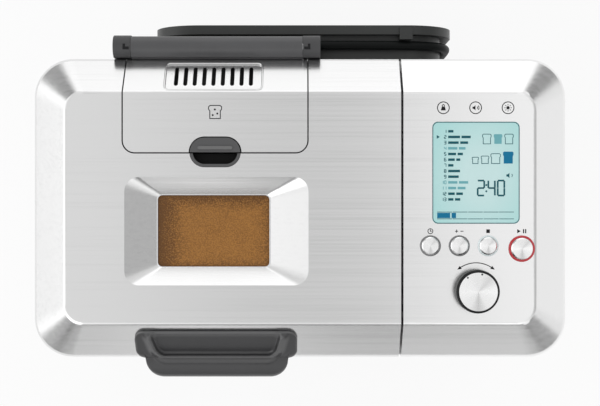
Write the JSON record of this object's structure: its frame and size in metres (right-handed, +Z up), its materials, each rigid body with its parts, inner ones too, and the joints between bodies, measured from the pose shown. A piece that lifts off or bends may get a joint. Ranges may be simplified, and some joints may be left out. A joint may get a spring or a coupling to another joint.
{
  "type": "bread machine",
  "caption": "Counter-top bread machine: boxy steel casing, hinged lid with sunk window and nut-dispenser flap, control panel with display, buttons and dial, pan, paddle and belt drive.",
  "frame": {"origin": "under the middle of the overall box, on the surface that the feet stand on", "axes": "+Z up; +X to the right as seen from the front, along the long side; +Y to the back, where the hinge and the cord spool are"},
  "size_m": [0.415, 0.2806, 0.344],
  "materials": {
    "steel_shell": "brushed along X, satin",
    "spun_steel": "spun, satin",
    "charcoal_plastic": "fine grain, satin",
    "grey_plastic": "fine grain, satin",
    "red_ring": "gloss",
    "inner_plastic": "plain",
    "clear_plastic": "clear, smoky",
    "window_glass": "tinted, gloss",
    "display_lens": "gloss",
    "display": "satin",
    "rubber": "matt",
    "cord_sheath": "satin",
    "oven_steel": "satin",
    "element": "oxidised",
    "pan_coating": "non-stick coating",
    "bright_steel": "bright",
    "bearing_bronze": "satin",
    "cast_alloy": "cast",
    "circuit_board": "satin",
    "lamp_glass": "frosted"
  },
  "bodies": {
    "base": {"base_tray": "charcoal_plastic", "bearing_housing": "cast_alloy", "button_rings": "grey_plastic", "casing_screws": "bright_steel", "chamber_lamp": "lamp_glass", "control_board": "circuit_board", "control_cover": "steel_shell", "cord_clip": "charcoal_plastic", "cord_spool": "charcoal_plastic", "drive_belt": "rubber", "drive_frame": "oven_steel", "drive_motor": "cast_alloy", "heating_element": "element", "hinge_pin": "bright_steel", "hinge_posts": "grey_plastic", "lcd_lens": "display_lens", "lcd_module": "display", "outer_casing": "steel_shell", "oven_chamber": "oven_steel", "pan_socket": "inner_plastic", "panel_frame": "inner_plastic", "power_board": "circuit_board", "power_cord": "cord_sheath", "power_plug": "cord_sheath", "rubber_feet": "rubber", "shaft_bushes": "bearing_bronze", "spool_flange": "charcoal_plastic", "start_ring": "red_ring", "strain_relief": "rubber", "temperature_sensor": "bright_steel", "top_deck": "inner_plastic"},
    "lid": {"lid_skin": "steel_shell", "lid_liner": "inner_plastic", "lid_gasket": "rubber", "window_glass": "window_glass", "window_shroud": "inner_plastic", "lid_handle": "charcoal_plastic", "dispenser_hopper": "clear_plastic", "dispenser_solenoid": "cast_alloy", "latch_pocket": "charcoal_plastic"},
    "flap": {"flap_skin": "steel_shell", "flap_liner": "inner_plastic", "flap_hinge_cover": "grey_plastic"},
    "latch": {"latch_lever": "grey_plastic"},
    "trapdoor": {"trapdoor": "clear_plastic"},
    "pan": {"bread_pan": "pan_coating", "pan_bearing": "bearing_bronze"},
    "bail": {"pan_handle": "bright_steel"},
    "paddle": {"paddle_shaft": "bright_steel", "paddle_hub": "pan_coating"},
    "blade": {"paddle_blade": "pan_coating"},
    "drive": {"drive_shaft": "bright_steel", "driven_pulley": "cast_alloy"},
    "motor_rotor": {"motor_pulley": "bright_steel"},
    "dial": {"select_dial": "charcoal_plastic", "dial_cap": "spun_steel"},
    "timer_key": {"timer_button": "spun_steel"},
    "adjust_key": {"adjust_button": "spun_steel"},
    "cancel_key": {"cancel_button": "spun_steel"},
    "start_key": {"start_button": "spun_steel"}
  },
  "joints": [
    {"name": "lid_hinge", "type": "hinge", "parent": "base", "child": "lid", "pos_m": [-0.06475, 0.117, 0.305], "axis": [-1, 0, 0], "range_deg": [0, 90]},
    {"name": "flap_hinge", "type": "hinge", "parent": "lid", "child": "flap", "pos_m": [-0.06475, 0.117, 0.305], "axis": [-1, 0, 0], "range_deg": [0, 85]},
    {"name": "latch_tilt", "type": "hinge", "parent": "flap", "child": "latch", "pos_m": [-0.06475, 0.04135, 0.3264], "axis": [-1, 0, 0], "range_deg": [0, 10], "stiffness_Nm_per_rad": 0.05, "springref_deg": -11.46},
    {"name": "trapdoor_swing", "type": "hinge", "parent": "lid", "child": "trapdoor", "pos_m": [-0.06475, 0.0685, 0.3], "axis": [1, 0, 0], "range_deg": [0, 80], "stiffness_Nm_per_rad": 0.02, "springref_deg": -68.75},
    {"name": "pan_lift", "type": "slide", "parent": "base", "child": "pan", "axis": [0, 0, 1], "range_m": [0, 0.048]},
    {"name": "bail_swing", "type": "hinge", "parent": "pan", "child": "bail", "pos_m": [-0.06475, -0.0087, 0.19], "axis": [-1, 0, 0], "range_deg": [0, 180]},
    {"name": "paddle_spin", "type": "hinge", "parent": "pan", "child": "paddle", "pos_m": [-0.06475, -0.0087, 0.1], "axis": [0, 0, 1], "continuous": true},
    {"name": "blade_fold", "type": "hinge", "parent": "paddle", "child": "blade", "pos_m": [-0.06475, -0.0182, 0.105], "axis": [1, 0, 0], "range_deg": [0, 80]},
    {"name": "drive_spin", "type": "hinge", "parent": "base", "child": "drive", "pos_m": [-0.06475, -0.0087, 0.06], "axis": [0, 0, 1], "continuous": true},
    {"name": "motor_spin", "type": "hinge", "parent": "base", "child": "motor_rotor", "pos_m": [0.135, -0.0087, 0.06], "axis": [0, 0, 1], "continuous": true},
    {"name": "dial_turn", "type": "hinge", "parent": "base", "child": "dial", "pos_m": [0.1342, -0.0718, 0.335], "axis": [0, 0, 1], "continuous": true},
    {"name": "timer_press", "type": "slide", "parent": "base", "child": "timer_key", "axis": [0, 0, -1], "range_m": [0, 0.0012], "stiffness_N_per_m": 400, "springref_m": -0.001},
    {"name": "adjust_press", "type": "slide", "parent": "base", "child": "adjust_key", "axis": [0, 0, -1], "range_m": [0, 0.0012], "stiffness_N_per_m": 400, "springref_m": -0.001},
    {"name": "cancel_press", "type": "slide", "parent": "base", "child": "cancel_key", "axis": [0, 0, -1], "range_m": [0, 0.0012], "stiffness_N_per_m": 400, "springref_m": -0.001},
    {"name": "start_press", "type": "slide", "parent": "base", "child": "start_key", "axis": [0, 0, -1], "range_m": [0, 0.0012], "stiffness_N_per_m": 400, "springref_m": -0.001}
  ],
  "couplings": [
    {"joint": "paddle_spin", "follows": "drive_spin", "ratio": 1},
    {"joint": "motor_spin", "follows": "drive_spin", "ratio": 5}
  ]
}
